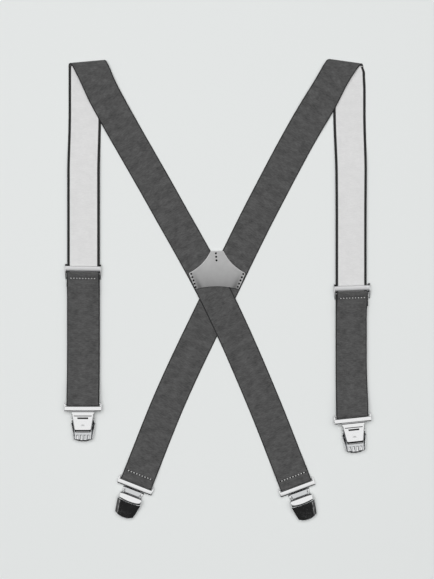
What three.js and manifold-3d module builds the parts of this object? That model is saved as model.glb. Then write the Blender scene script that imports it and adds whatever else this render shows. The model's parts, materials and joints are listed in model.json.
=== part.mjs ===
// Clip-on X-back suspenders laid out flat, as an assembly of separate pieces. Millimetres, +Z up.
//
// The two back straps run from the shoulders down to the back clips and cross under a leather patch.
// At each shoulder the webbing folds over, runs down the front through a slide adjuster, turns round the
// bar of the front clip and comes back up to the adjuster, where it is sewn.
// +X is across the straps, +Y runs from the clips up to the shoulders, and z = 0 is the surface below.
import * as THREE from 'three';
import { mergeVertices } from 'three/addons/utils/BufferGeometryUtils.js';
import Module from 'manifold-3d';

// ---- driving dimensions -------------------------------------------------------------------------
const STRAP_WIDTH = 35;
const STRAP_THICK = 1.2;
const GAP = 0.3; // kept between neighbouring pieces
const BEND_STEPS = 6; // facets in a half turn of webbing

const LEATHER_THICK = 1.6;
const PATCH_CENTRE_X = 0.6;

// A clip lies along -Y from its loop bar, rear face at z = 0, lever on top.
const LOOP_BAR_R = 1.0;
const LOOP_BAR_Z = 2.8;
const LOOP_HALF = 19.6;
const CLIP_HEIGHT = 9.0;
const PLATE_THICK = 1.2;
const PLATE_END = -30.3;
const EAR_INNER = 8.6;
const EAR_OUTER = 9.6;
const JAW_PIN = { y: -10.9, z: 2.6, r: 0.55 };
const LEVER_PIN = { y: -15.9, z: 5.2, r: 0.8 };
const RUNNING_CLEARANCE = 0.08;
const BULGE = { y: -17.4, z: 5.4, r: 3.6 };
const LEVER_TIP = -39.5;
const TEETH = 5;

// An adjuster is centred on its visible bar.
const SLIDER_HALF = 18.8;
const SLIDER_PIN = { y: -10.5, z: 1.0, r: 0.5 };
const WRAP_BAR = { y: -4.8, z: 5.8, r: 0.5 };

// Where things lie.
const CROSSING = [0.9, -9.6];
const SIDES = [
  {
    name: 'left',
    crease: { x: -136.9, y: 239.8, angle: 5.1 },
    shoulder: [-116.2, 200.9],
    upper: [-56.2, 94.9],
    lower: [48.8, -117.1],
    backClip: { x: 83.7, y: -205.7, angle: 20.5 },
    crossingHeight: 2.1,
    strapX: -141.0,
    slider: { y: 22.3, angle: -1.0 },
    frontClip: { y: -120.6, angle: 0 },
  },
  {
    name: 'right',
    crease: { x: 137.1, y: 239.8, angle: -8.1 },
    shoulder: [110.1, 200.9],
    upper: [51.9, 94.9],
    lower: [-49.8, -117.1],
    backClip: { x: -84.4, y: -203.7, angle: -21.5 },
    crossingHeight: 0.6,
    strapX: 143.3,
    slider: { y: 1.6, angle: 2.0 },
    frontClip: { y: -132.8, angle: 5.9 },
  },
];
const FOLD_R = 1.5; // middle of the webbing round the shoulder fold
const LOW = STRAP_THICK / 2; // centre height of webbing that lies on the surface
const RUN_Z = 2.9; // centre height of the strap where it runs through an adjuster
const RUN_START = 120; // the adjuster can rise to here

// ---- materials ----------------------------------------------------------------------------------
const material = (color, roughness, metalness) =>
  new THREE.MeshStandardMaterial({ color, roughness, metalness });
const MATERIALS = {
  webbing: material(0x55575a, 0.9, 0),
  leather: material(0x8f9092, 0.6, 0),
  chrome: material(0xe4e6e8, 0.12, 1),
  steel: material(0xb9bcc0, 0.3, 1),
};

// ---- solids -------------------------------------------------------------------------------------
const wasm = await Module();
wasm.setup();

function solidOf(geometry) {
  const bare = new THREE.BufferGeometry();
  bare.setAttribute('position', geometry.getAttribute('position').clone());
  if (geometry.index) bare.setIndex(geometry.index.clone());
  const merged = mergeVertices(bare, 1e-4);
  const vertProperties = new Float32Array(merged.getAttribute('position').array);
  const triVerts = new Uint32Array(merged.index.array);
  return new wasm.Manifold(new wasm.Mesh({ numProp: 3, vertProperties, triVerts }));
}

function geometryOf(solid) {
  const mesh = solid.getMesh();
  const geometry = new THREE.BufferGeometry();
  geometry.setAttribute('position', new THREE.BufferAttribute(new Float32Array(mesh.vertProperties), 3));
  geometry.setIndex(new THREE.BufferAttribute(new Uint32Array(mesh.triVerts), 1));
  geometry.computeVertexNormals();
  return geometry;
}

const join = (...parts) => parts.map(solidOf).reduce((sum, part) => sum.add(part));
const cut = (body, tools) => tools.map(solidOf).reduce((rest, tool) => rest.subtract(tool), body);

function box(x0, x1, y0, y1, z0, z1) {
  return new THREE.BoxGeometry(x1 - x0, y1 - y0, z1 - z0)
    .translate((x0 + x1) / 2, (y0 + y1) / 2, (z0 + z1) / 2);
}

// A round bar along X.
function rod(y, z, r, x0, x1, sides = 16) {
  return new THREE.CylinderGeometry(r, r, x1 - x0, sides)
    .rotateZ(Math.PI / 2)
    .translate((x0 + x1) / 2, y, z);
}

// An outline in (y, z) swept along X.
function sweptX(shape, x0, x1, curveSegments = 8) {
  const turn = new THREE.Matrix4().makeBasis(
    new THREE.Vector3(0, 1, 0),
    new THREE.Vector3(0, 0, 1),
    new THREE.Vector3(1, 0, 0),
  );
  return new THREE.ExtrudeGeometry(shape, { depth: x1 - x0, bevelEnabled: false, curveSegments })
    .applyMatrix4(turn)
    .translate(x0, 0, 0);
}

// An outline in (x, y) raised from z0 to z1.
function raised(shape, z0, z1, curveSegments = 8) {
  return new THREE.ExtrudeGeometry(shape, { depth: z1 - z0, bevelEnabled: false, curveSegments })
    .translate(0, 0, z0);
}

const outline = (points) => new THREE.Shape(points.map(([x, y]) => new THREE.Vector2(x, y)));

// ---- webbing ------------------------------------------------------------------------------------
// A flat strap through stations, each with its centre, its half-width vector and its outer normal.
function ribbon(stations) {
  const positions = [];
  const index = [];
  stations.forEach(({ at, across, out }) => {
    const half = out.clone().multiplyScalar(STRAP_THICK / 2);
    const corners = [
      at.clone().add(across).add(half),
      at.clone().sub(across).add(half),
      at.clone().sub(across).sub(half),
      at.clone().add(across).sub(half),
    ];
    corners.forEach((corner) => positions.push(corner.x, corner.y, corner.z));
  });
  for (let i = 0; i < stations.length - 1; i += 1) {
    for (let k = 0; k < 4; k += 1) {
      const a = 4 * i + k;
      const b = 4 * i + ((k + 1) % 4);
      index.push(a, b, b + 4, a, b + 4, a + 4);
    }
  }
  const end = 4 * (stations.length - 1);
  index.push(0, 3, 2, 0, 2, 1, end, end + 1, end + 2, end, end + 2, end + 3);
  const geometry = new THREE.BufferGeometry();
  geometry.setAttribute('position', new THREE.Float32BufferAttribute(positions, 3));
  geometry.setIndex(index);
  geometry.computeVertexNormals();
  return geometry;
}

const vector = (x, y, z = 0) => new THREE.Vector3(x, y, z);
const UP = vector(0, 0, 1);
const DOWN = vector(0, 0, -1);
const station = (x, y, z, across, out) => ({ at: vector(x, y, z), across: across.clone(), out });

// A half turn of webbing round a bar: from straight below or above, out along `away`, to the other side.
function halfTurn(centre, radius, away, across, from) {
  const stations = [];
  for (let i = 0; i <= BEND_STEPS; i += 1) {
    const angle = (Math.PI * i) / BEND_STEPS;
    const out = from.clone().multiplyScalar(Math.cos(angle));
    out.addScaledVector(away, Math.sin(angle));
    stations.push({ at: centre.clone().addScaledVector(out, radius), across: across.clone(), out });
  }
  return stations;
}

const unit = (degrees) => {
  const angle = THREE.MathUtils.degToRad(degrees);
  return vector(Math.cos(angle), Math.sin(angle));
};

function heightAt(table, distance) {
  const next = table.findIndex(([at]) => at >= distance);
  if (next < 0) return table[table.length - 1][1];
  if (next === 0) return table[0][1];
  const [d0, z0] = table[next - 1];
  const [d1, z1] = table[next];
  return z0 + ((z1 - z0) * (distance - d0)) / (d1 - d0);
}

const WRAP_R = LOOP_BAR_R + GAP + STRAP_THICK / 2;
const HEM = 14;

// From the shoulder crease down the back, over and round the back clip's loop bar, and hemmed below.
function backStrap(side) {
  const { crease, backClip } = side;
  const curve = new THREE.CatmullRomCurve3([
    vector(crease.x, crease.y - GAP),
    vector(...side.shoulder),
    vector(...side.upper),
    vector(...CROSSING),
    vector(...side.lower),
    vector(backClip.x, backClip.y),
  ]);
  const length = curve.getLength();
  const crossing = 290;
  const over = side.crossingHeight;
  const heights = [
    [0, LOW + 2 * FOLD_R], [68, 2.15], [95, LOW],
    [crossing - 75, LOW], [crossing - 48, over], [crossing + 48, over], [crossing + 75, LOW],
    [length - 30, LOW], [length - 16, 2.4], [length - 7, 2.4], [length - 1.5, LOOP_BAR_Z + WRAP_R],
  ];
  const marks = [16, 40, 68, 95, 130, 170, crossing - 75, crossing - 48, crossing - 16, crossing + 16];
  marks.push(crossing + 48, crossing + 75, 400, 430, length - 30, length - 16, length - 7, length - 1.5);
  const creaseHalf = unit(crease.angle).multiplyScalar(STRAP_WIDTH / 2 + 0.8);
  const stations = [station(crease.x, crease.y - GAP, heights[0][1], creaseHalf, UP)];
  marks.forEach((mark) => {
    const at = curve.getPointAt(mark / length);
    const along = curve.getTangentAt(mark / length);
    const across = vector(-along.y, along.x).multiplyScalar(STRAP_WIDTH / 2);
    stations.push(station(at.x, at.y, heightAt(heights, mark), across, UP));
  });
  const away = unit(backClip.angle - 90);
  const across = unit(backClip.angle).multiplyScalar(STRAP_WIDTH / 2);
  const centre = vector(backClip.x, backClip.y, LOOP_BAR_Z);
  const hemEnd = centre.clone().addScaledVector(away, -HEM).addScaledVector(UP, -WRAP_R);
  stations.push(...halfTurn(centre, WRAP_R, away, across, UP));
  stations.push({ at: hemEnd, across, out: DOWN });
  return ribbon(stations);
}

// The soft bend at the shoulder, between the back strap above and the front strap below.
function shoulderFold({ crease }) {
  const centre = vector(crease.x, crease.y, LOW + FOLD_R);
  const across = unit(crease.angle).multiplyScalar(STRAP_WIDTH / 2 + 0.8);
  return ribbon(halfTurn(centre, FOLD_R, unit(crease.angle + 90), across, DOWN));
}

function frontStrap({ crease, strapX }) {
  const creaseHalf = unit(crease.angle).multiplyScalar(STRAP_WIDTH / 2 + 0.8);
  const half = vector(STRAP_WIDTH / 2, 0);
  return ribbon([
    station(crease.x, crease.y - GAP, LOW, creaseHalf, UP),
    station(crease.x + (strapX - crease.x) * 0.4, crease.y - 16, LOW, half, UP),
    station(strapX, 165, LOW, half, UP),
    station(strapX, RUN_START + 8, RUN_Z, half, UP),
    station(strapX, RUN_START + GAP, RUN_Z, half, UP),
  ]);
}

const frontBarZ = CLIP_HEIGHT - LOOP_BAR_Z;

// The strap from above the adjuster down to the front clip, and round its loop bar.
function runningPly({ strapX, frontClip }) {
  const half = vector(-STRAP_WIDTH / 2, 0);
  const tilted = unit(frontClip.angle).multiplyScalar(-STRAP_WIDTH / 2);
  const centre = vector(strapX, frontClip.y, frontBarZ);
  return ribbon([
    station(strapX, RUN_START, RUN_Z, half, DOWN),
    station(strapX, frontClip.y + 24, RUN_Z, half, DOWN),
    ...halfTurn(centre, WRAP_R, unit(frontClip.angle - 90), tilted, DOWN),
  ]);
}

// The strap back up from the clip's loop bar to the adjuster, round its hidden bar and hemmed below.
function returnPly({ strapX, slider, frontClip }) {
  const half = vector(STRAP_WIDTH / 2, 0);
  const tilted = unit(frontClip.angle).multiplyScalar(STRAP_WIDTH / 2);
  const turned = unit(slider.angle).multiplyScalar(STRAP_WIDTH / 2);
  const up = unit(slider.angle + 90);
  const wrapR = WRAP_BAR.r + GAP + STRAP_THICK / 2;
  const bar = vector(strapX, slider.y, WRAP_BAR.z).addScaledVector(up, WRAP_BAR.y);
  const hemEnd = bar.clone().addScaledVector(up, -HEM).addScaledVector(UP, -wrapR);
  const fromBar = frontClip.y + GAP;
  return ribbon([
    { at: hemEnd, across: turned, out: DOWN },
    ...halfTurn(bar, wrapR, up, turned, DOWN),
    station(strapX, bar.y - 3, WRAP_BAR.z + wrapR, turned, UP),
    station(strapX, bar.y - 7, 5.95, turned, UP),
    station(strapX, bar.y - 16, 5.95, half, UP),
    station(strapX, bar.y - 26, 4.5, half, UP),
    station(strapX, fromBar + 32, 4.5, half, UP),
    station(strapX, fromBar + 12, 6.6, half, UP),
    station(strapX, fromBar, frontBarZ + WRAP_R, tilted, UP),
  ]);
}

// ---- leather patch ------------------------------------------------------------------------------
function leatherPatch() {
  const shape = new THREE.Shape();
  shape.moveTo(6.9, 40.9);
  shape.quadraticCurveTo(13.2, 26.2, 30, 17.3);
  shape.lineTo(22.9, 0.4);
  shape.quadraticCurveTo(0, 6.2, -22.9, 0.4);
  shape.lineTo(-30, 17.3);
  shape.quadraticCurveTo(-13.2, 26.2, -6.9, 40.9);
  const bottom = SIDES[0].crossingHeight + STRAP_THICK / 2 + GAP;
  return raised(shape, bottom, bottom + LEATHER_THICK).translate(PATCH_CENTRE_X, 0, 0);
}

// ---- clip ---------------------------------------------------------------------------------------
// Loop, curved neck, tapered rear plate with its raised lip, and two ears that hold both pins.
function clipFrame() {
  const neck = outline([
    [-3.4, 1.4], [-2.9, 2.2], [-3.4, 3.2], [-4.6, 3.7], [-6.2, 3.6], [-7.4, 3.0], [-8.6, 1.9],
    [-9.8, PLATE_THICK],
    [-27.6, PLATE_THICK], [-28.6, PLATE_THICK + 0.25], [PLATE_END, PLATE_THICK + 0.1], [PLATE_END, 0.3],
    [-29.9, 0], [-8.4, 0], [-6.6, 0.9],
  ]);
  const bar = solidOf(sweptX(neck, -LOOP_HALF, LOOP_HALF));
  const plan = outline([
    [-LOOP_HALF, -2.8], [-LOOP_HALF, -6.2], [-17.6, -7.9], [-12.2, -7.9], [-8.8, -28.2],
    [-6.8, PLATE_END - 0.1], [6.8, PLATE_END - 0.1],
    [8.8, -28.2], [12.2, -7.9], [17.6, -7.9], [LOOP_HALF, -6.2], [LOOP_HALF, -2.8],
  ]);
  let frame = bar.intersect(solidOf(raised(plan, -1, 5)));
  const ear = new THREE.Shape();
  ear.moveTo(-18.9, 0.4);
  ear.lineTo(-9.6, 0.4);
  ear.lineTo(-9.6, 3.5);
  ear.lineTo(-12.0, 3.5);
  ear.lineTo(-13.8, 2.9);
  ear.lineTo(LEVER_PIN.y + 1.6, LEVER_PIN.z);
  ear.absarc(LEVER_PIN.y, LEVER_PIN.z, 1.6, 0, Math.PI, false);
  [-1, 1].forEach((hand) => {
    const sort = (a, b) => [Math.min(hand * a, hand * b), Math.max(hand * a, hand * b)];
    frame = frame.add(solidOf(box(...sort(18, LOOP_HALF), -4.6, 1.0, 1.8, 3.7)));
    frame = frame.add(solidOf(sweptX(ear, ...sort(EAR_INNER, EAR_OUTER))));
  });
  frame = frame.add(solidOf(rod(0, LOOP_BAR_Z, LOOP_BAR_R, -18.6, 18.6, 12)));
  const pinHoles = [JAW_PIN, LEVER_PIN].map(({ y, z, r }) => rod(y, z, r + RUNNING_CLEARANCE, -12, 12));
  const slot = box(-5.75, 5.75, -15.7, -14.5, -1, 3);
  const dimple = new THREE.SphereGeometry(6, 24, 12).translate(0, -24.6, -5.3);
  return geometryOf(cut(frame, [...pinHoles, slot, dimple]));
}

// The front jaw: a hinged plate that ends in a comb of teeth.
function clipJaw() {
  const side = outline([
    [-10.9, 2.0], [-12.6, 1.7], [-31.0, 1.7], [-34.0, 1.3], [-37.4, 0.4], [-37.6, 1.2], [-34.2, 2.2],
    [-31.2, 2.6], [-12.6, 2.6], [-10.9, 3.2],
  ]);
  const plan = outline([
    [-8.2, -9], [-8.2, -19.4], [-8.9, -21.2], [-8.9, -38], [8.9, -38], [8.9, -21.2], [8.2, -19.4], [8.2, -9],
  ]);
  const plate = join(sweptX(side, -10, 10), rod(JAW_PIN.y, JAW_PIN.z, 1.0, -8.2, 8.2));
  const jaw = plate.intersect(solidOf(raised(plan, -1, 5)));
  const pitch = 17.8 / (TEETH - 0.42);
  const slots = [];
  for (let i = 0; i < TEETH - 1; i += 1) {
    const left = -8.9 + pitch * (i + 0.58);
    slots.push(box(left, left + pitch * 0.42, -39, -32.6, -1, 4));
  }
  slots.push(rod(JAW_PIN.y, JAW_PIN.z, JAW_PIN.r + RUNNING_CLEARANCE, -9, 9));
  return geometryOf(cut(jaw, slots));
}

// The lever: a bulged shell over the ears, a tapered cover, two flanks and the cam between the ears.
function clipLever() {
  const start = THREE.MathUtils.degToRad(50);
  const end = THREE.MathUtils.degToRad(150);
  const inner = BULGE.r - 1;
  const side = new THREE.Shape();
  side.absarc(BULGE.y, BULGE.z, BULGE.r, start, end, false);
  side.lineTo(LEVER_TIP, 5.2);
  side.lineTo(LEVER_TIP, 4.2);
  side.lineTo(-21.2, 6.1);
  side.absarc(BULGE.y, BULGE.z, inner, end, start, true);
  const plan = new THREE.Shape();
  plan.moveTo(12.2, -12);
  plan.lineTo(12.2, -20.2);
  plan.lineTo(13, -20.9);
  plan.lineTo(10.3, -37.4);
  plan.quadraticCurveTo(0, -41.4, -10.3, -37.4);
  plan.lineTo(-13, -20.9);
  plan.lineTo(-12.2, -20.2);
  plan.lineTo(-12.2, -12);
  const shell = solidOf(sweptX(side, -14, 14, 7)).intersect(solidOf(raised(plan, 0, 10, 6)));
  const cam = outline([
    [-14.3, 5.2], [-14.7, 4.1], [-15.5, 3.0], [-16.9, 2.95], [-18.3, 3.6], [-19.1, 5.0], [-19.6, 6.6],
    [-18.9, 8.0], [-17.0, 8.5], [-15.5, 7.9], [-14.6, 6.6],
  ]);
  let lever = shell.add(solidOf(sweptX(cam, -8, 8)));
  lever = lever.add(solidOf(rod(BULGE.y, BULGE.z, 3.3, 11, 12)));
  lever = lever.add(solidOf(rod(BULGE.y, BULGE.z, 3.3, -12, -11)));
  return geometryOf(cut(lever, [rod(LEVER_PIN.y, LEVER_PIN.z, LEVER_PIN.r + RUNNING_CLEARANCE, -14, 14)]));
}

// ---- adjuster -----------------------------------------------------------------------------------
const sliderPinHole = () => rod(SLIDER_PIN.y, SLIDER_PIN.z, SLIDER_PIN.r + RUNNING_CLEARANCE, -20, 20);

// Two side walls, the broad bar that shows and the thin bar that the strap end is sewn round.
function adjusterFrame() {
  const wall = outline([
    [-11.4, 0.3], [-9.6, 0.3], [-7.4, 2.6], [1.6, 3.9], [2.3, 4.4], [2.3, 5.8], [1.6, 6.3], [-1.8, 6.3],
    [-5.8, 6.5], [-7.2, 5.2], [-11.4, 2.0],
  ]);
  const bar = outline([
    [-2.3, 4.5], [-1.5, 3.9], [1.5, 3.9], [2.3, 4.5], [2.4, 5.3], [1.6, 6.1], [0, 6.35], [-1.6, 6.1],
    [-2.4, 5.3],
  ]);
  const frame = join(
    sweptX(wall, -SLIDER_HALF, -18.1),
    sweptX(wall, 18.1, SLIDER_HALF),
    sweptX(bar, -18.4, 18.4),
    rod(WRAP_BAR.y, WRAP_BAR.z, WRAP_BAR.r, -18.4, 18.4, 10),
  );
  return geometryOf(cut(frame, [sliderPinHole()]));
}

// The hinged cover on the outer side, with two gripping ridges under the bar.
function adjusterCover() {
  const side = outline([
    [-10.5, 0], [4.2, 0], [4.6, 0.4], [4.2, 1.0], [1.4, 1.0], [0.8, 2.0], [0.2, 1.0], [-0.8, 1.0],
    [-1.4, 2.0], [-2.0, 1.0], [-9.4, 1.0], [-10.5, 1.4],
  ]);
  const cover = join(sweptX(side, -17.6, 17.6), rod(SLIDER_PIN.y, SLIDER_PIN.z, 1.0, -17.6, 17.6, 12));
  return geometryOf(cut(cover, [sliderPinHole()]));
}

// ---- assembly -----------------------------------------------------------------------------------
const mesh = (name, geometry, finish) => {
  const part = new THREE.Mesh(geometry, MATERIALS[finish]);
  part.name = name;
  return part;
};

const clipShapes = { frame: clipFrame(), jaw: clipJaw(), lever: clipLever() };
const adjusterShapes = { frame: adjusterFrame(), cover: adjusterCover() };
const pin = ({ y, z, r }, half) => rod(y, z, r, -half, half);

function clip(name) {
  const group = new THREE.Group();
  group.add(
    mesh(`${name}_frame`, clipShapes.frame, 'chrome'),
    mesh(`${name}_jaw`, clipShapes.jaw, 'steel'),
    mesh(`${name}_lever`, clipShapes.lever, 'chrome'),
    mesh(`${name}_jaw_pin`, pin(JAW_PIN, 9.6), 'steel'),
    mesh(`${name}_lever_pin`, pin(LEVER_PIN, 12.2), 'steel'),
  );
  return group;
}

function adjuster(name) {
  const group = new THREE.Group();
  group.add(
    mesh(`${name}_frame`, adjusterShapes.frame, 'chrome'),
    mesh(`${name}_cover`, adjusterShapes.cover, 'chrome'),
    mesh(`${name}_pin`, pin(SLIDER_PIN, SLIDER_HALF), 'steel'),
  );
  return group;
}

const assembly = new THREE.Group();
assembly.add(mesh('leather_patch', leatherPatch(), 'leather'));

SIDES.forEach((side) => {
  const { name } = side;
  assembly.add(
    mesh(`back_strap_${name}`, backStrap(side), 'webbing'),
    mesh(`shoulder_fold_${name}`, shoulderFold(side), 'webbing'),
    mesh(`front_strap_${name}`, frontStrap(side), 'webbing'),
    mesh(`running_ply_${name}`, runningPly(side), 'webbing'),
    mesh(`return_ply_${name}`, returnPly(side), 'webbing'),
  );

  // The back clip at the end of this strap lies lever up.
  const backClip = clip(`back_clip_${name}`);
  backClip.position.set(side.backClip.x, side.backClip.y, 0);
  backClip.rotation.z = THREE.MathUtils.degToRad(side.backClip.angle);
  assembly.add(backClip);

  // The front clip lies lever down.
  const frontClip = new THREE.Group();
  const flipped = clip(`front_clip_${name}`);
  flipped.rotation.y = Math.PI;
  frontClip.add(flipped);
  frontClip.position.set(side.strapX, side.frontClip.y, CLIP_HEIGHT);
  frontClip.rotation.z = THREE.MathUtils.degToRad(side.frontClip.angle);
  assembly.add(frontClip);

  const slider = adjuster(`adjuster_${name}`);
  slider.position.set(side.strapX, side.slider.y, 0);
  slider.rotation.z = THREE.MathUtils.degToRad(side.slider.angle);
  assembly.add(slider);
});

// The origin is the middle of the underside of the whole object.
assembly.updateMatrixWorld(true);
const bounds = new THREE.Box3().setFromObject(assembly, true);
const middle = bounds.getCenter(new THREE.Vector3());
assembly.position.set(-middle.x, -middle.y, -bounds.min.z);

const suspenders = new THREE.Group();
suspenders.add(assembly);

export default suspenders;
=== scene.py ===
import json
import math

import bpy
import numpy as np
from bpy.props import FloatProperty, FloatVectorProperty, PointerProperty
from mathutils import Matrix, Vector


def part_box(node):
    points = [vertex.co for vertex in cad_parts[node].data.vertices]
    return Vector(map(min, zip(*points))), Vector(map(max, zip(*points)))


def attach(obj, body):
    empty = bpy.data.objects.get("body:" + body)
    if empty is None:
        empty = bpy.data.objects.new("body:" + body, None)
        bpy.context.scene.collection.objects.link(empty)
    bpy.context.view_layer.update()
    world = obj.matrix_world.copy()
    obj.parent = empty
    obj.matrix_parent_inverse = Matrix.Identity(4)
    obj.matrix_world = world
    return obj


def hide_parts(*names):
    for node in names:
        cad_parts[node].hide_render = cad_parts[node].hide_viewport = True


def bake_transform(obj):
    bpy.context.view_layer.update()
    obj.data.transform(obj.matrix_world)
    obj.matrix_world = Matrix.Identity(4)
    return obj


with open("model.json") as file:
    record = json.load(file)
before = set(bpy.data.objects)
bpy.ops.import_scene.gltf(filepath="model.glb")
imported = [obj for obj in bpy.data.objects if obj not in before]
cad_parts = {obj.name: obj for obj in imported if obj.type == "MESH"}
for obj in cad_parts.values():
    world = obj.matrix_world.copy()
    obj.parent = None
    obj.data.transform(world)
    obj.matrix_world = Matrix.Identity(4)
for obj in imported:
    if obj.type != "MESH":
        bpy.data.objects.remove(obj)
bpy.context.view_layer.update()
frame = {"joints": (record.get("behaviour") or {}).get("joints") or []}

bl_info = {
    "name": "Clip-on suspenders",
    "version": (1, 0, 0),
    "blender": (4, 5, 0),
    "location": "3D View > Sidebar > Suspenders",
    "description": "Builds the webbing, leather, clips and adjusters of X-back suspenders on their frame",
    "category": "Object",
}

MM = 0.001
JOINTS = {joint["name"]: joint for joint in frame["joints"]}
SIDES = ("left", "right")

# ---- places, worked out from the frame, in millimetres


def joint_place(name):
    """A hinge's point and the unit vector along its axis, in millimetres."""
    joint = JOINTS[name]
    return np.array(joint["pos_m"]) / MM, np.array(joint["axis"], float)


def node_box(name):
    low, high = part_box(name)
    return np.array(low) / MM, np.array(high) / MM


PATCH_LOW, PATCH_HIGH = node_box("leather_patch")
PATCH_CENTRE = (PATCH_LOW + PATCH_HIGH) / 2
# The straps cross a little below the patch, and bend slightly there.
CROSSING = np.array([PATCH_CENTRE[0] + 0.3, PATCH_LOW[1] - 10.0])
SHOULDER_BEND = {"left": np.array([-117.6, 200.8]), "right": np.array([109.8, 200.8])}
UPPER_BEND = {"left": np.array([-57.7, 94.8]), "right": np.array([51.0, 94.8])}
LOWER_BEND = {"left": np.array([47.4, -117.2]), "right": np.array([-51.2, -117.2])}
RUN_TOP = node_box("front_strap_left")[0][1]
RUN_HEIGHT = 2.9
FOLD_HEIGHT = joint_place("shoulder_left")[0][2]
LOOP_BAR_HEIGHT = 2.8


# ---- settings


def colour_setting(name, description, default):
    return FloatVectorProperty(name=name, description=description, default=default, subtype="COLOR")


def length_setting(name, description, default):
    return FloatProperty(name=name, description=description, default=default, unit="LENGTH")


class StrapSettings(bpy.types.PropertyGroup):
    width: length_setting("Width", "Width of the webbing", 0.0345)
    thickness: length_setting("Thickness", "Thickness of the webbing", 0.0012)
    outer: colour_setting("Outer face", "Colour of the outer face", (0.079, 0.079, 0.079))
    inner: colour_setting("Inner face", "Colour of the inner face", (0.70, 0.70, 0.70))
    selvedge: colour_setting("Selvedge", "Colour of the woven edges", (0.024, 0.024, 0.024))
    pick: length_setting("Pick", "Spacing of the weft", 0.0009)


class LeatherSettings(bpy.types.PropertyGroup):
    thickness: length_setting("Thickness", "Thickness of the patch", 0.0016)
    colour: colour_setting("Colour", "Colour of the leather", (0.36, 0.36, 0.36))


class MetalSettings(bpy.types.PropertyGroup):
    chrome: colour_setting("Chrome", "Colour of the chrome plate", (0.80, 0.805, 0.81))
    steel: colour_setting("Steel", "Colour of the plated steel inside", (0.6, 0.61, 0.62))
    roughness: FloatProperty(name="Roughness", description="Roughness of the chrome", default=0.07)
    satin: FloatProperty(name="Satin", description="Roughness of the adjusters", default=0.32)


class ThreadSettings(bpy.types.PropertyGroup):
    thickness: length_setting("Thickness", "Thickness of the thread", 0.001)
    colour: colour_setting("Colour", "Colour of the thread", (0.6, 0.6, 0.6))
    # This colour also paints the shade in the needle holes of the strap hems.
    dark: colour_setting("Dark", "Colour of the thread on the leather", (0.008, 0.008, 0.008))


class StageSettings(bpy.types.PropertyGroup):
    floor: colour_setting("Floor", "Colour of the floor", (0.745, 0.765, 0.76))
    key: FloatProperty(name="Key", description="Power of the large overhead light", default=49.0)
    sky: FloatProperty(name="Sky", description="Strength of the surrounding light", default=1.0)
    camera_height: length_setting("Camera height", "Height of the camera above the floor", 1.6)


SETTINGS = {
    "suspenders_strap": StrapSettings,
    "suspenders_leather": LeatherSettings,
    "suspenders_metal": MetalSettings,
    "suspenders_thread": ThreadSettings,
    "suspenders_stage": StageSettings,
}

# ---- meshes


SHARP_ANGLE = 40.0


def linked(name, data):
    """A new object at the origin, linked to the scene."""
    made = bpy.data.objects.new(name, data)
    bpy.context.scene.collection.objects.link(made)
    return made


def make_piece(name, shells, material):
    """One object from closed shells, each (points in mm, list of face arrays, loop UVs or None)."""
    points, sizes, loops, uvs, base = [], [], [], [], 0
    for shell_points, faces, uv in shells:
        points.append(shell_points.reshape(-1, 3))
        for block in faces:
            loops.append(block.ravel() + base)
            sizes.append(np.full(len(block), block.shape[1]))
        loop_count = sum(block.size for block in faces)
        uvs.append(np.zeros((loop_count, 2)) if uv is None else uv)
        base += len(points[-1])
    points, sizes, loops, uvs = (np.concatenate(parts) for parts in (points, sizes, loops, uvs))
    mesh = bpy.data.meshes.new(name)
    mesh.vertices.add(len(points))
    mesh.vertices.foreach_set("co", (points * MM).astype(np.float32).ravel())
    mesh.loops.add(len(loops))
    mesh.loops.foreach_set("vertex_index", loops.astype(np.int32))
    mesh.polygons.add(len(sizes))
    mesh.polygons.foreach_set("loop_start", (np.cumsum(sizes) - sizes).astype(np.int32))
    mesh.polygons.foreach_set("use_smooth", sizes <= 4)
    mesh.uv_layers.new(name="UVMap").data.foreach_set("uv", uvs.astype(np.float32).ravel())
    mesh.materials.append(material)
    mesh.update(calc_edges=True)
    mesh.set_sharp_from_angle(angle=math.radians(SHARP_ANGLE))
    if mesh.validate():
        raise RuntimeError(f"{name} has a face that isn't sound")
    return linked(name, mesh)


def loft(rings, around=None, along=None):
    """A shell from rings of points carried along a path, with a flat cap at each end.

    rings is (stations, points, 3). A ring runs anticlockwise seen against the path's direction. around gives
    the two U values of each ring segment, and along the V value of each station, both in metres.
    """
    stations, count, _ = rings.shape
    i = np.arange(stations - 1)[:, None]
    k = np.arange(count)[None, :]
    after = (k + 1) % count
    quads = np.stack([i * count + k, i * count + after, (i + 1) * count + after, (i + 1) * count + k], -1)
    ring = np.arange(count)
    caps = np.stack([ring[::-1], ring + (stations - 1) * count])
    uv = None
    if around is not None:
        u = np.broadcast_to(around[None, :, [0, 1, 1, 0]], (stations - 1, count, 4))
        v = np.stack([along[:-1], along[:-1], along[1:], along[1:]], -1)[:, None, :]
        side_uv = np.stack([u, np.broadcast_to(v, u.shape)], -1).reshape(-1, 2)
        cap_u = np.concatenate([around[::-1, 0], around[:, 0]])
        cap_v = np.concatenate([np.full(count, along[0]), np.full(count, along[-1])])
        uv = np.concatenate([side_uv, np.stack([cap_u, cap_v], -1)])
    return rings, [quads.reshape(-1, 4), caps], uv


def spread(count, crowd=0.85):
    """Values from 0 to 1 that stand closer together towards both ends, as a cosine does."""
    even = np.linspace(0, 1, count)
    return (1 - crowd) * even + crowd * (0.5 - 0.5 * np.cos(np.pi * even))


def reach_in(surface, axis):
    """How far each grid point lies from the nearer border, measured along one direction of the grid."""
    steps = np.linalg.norm(np.diff(surface, axis=axis), axis=2)
    travelled = np.insert(np.cumsum(steps, axis=axis), 0, 0, axis=axis)
    whole = np.take(travelled, [-1], axis=axis)
    return np.minimum(travelled, whole - travelled)


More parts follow.
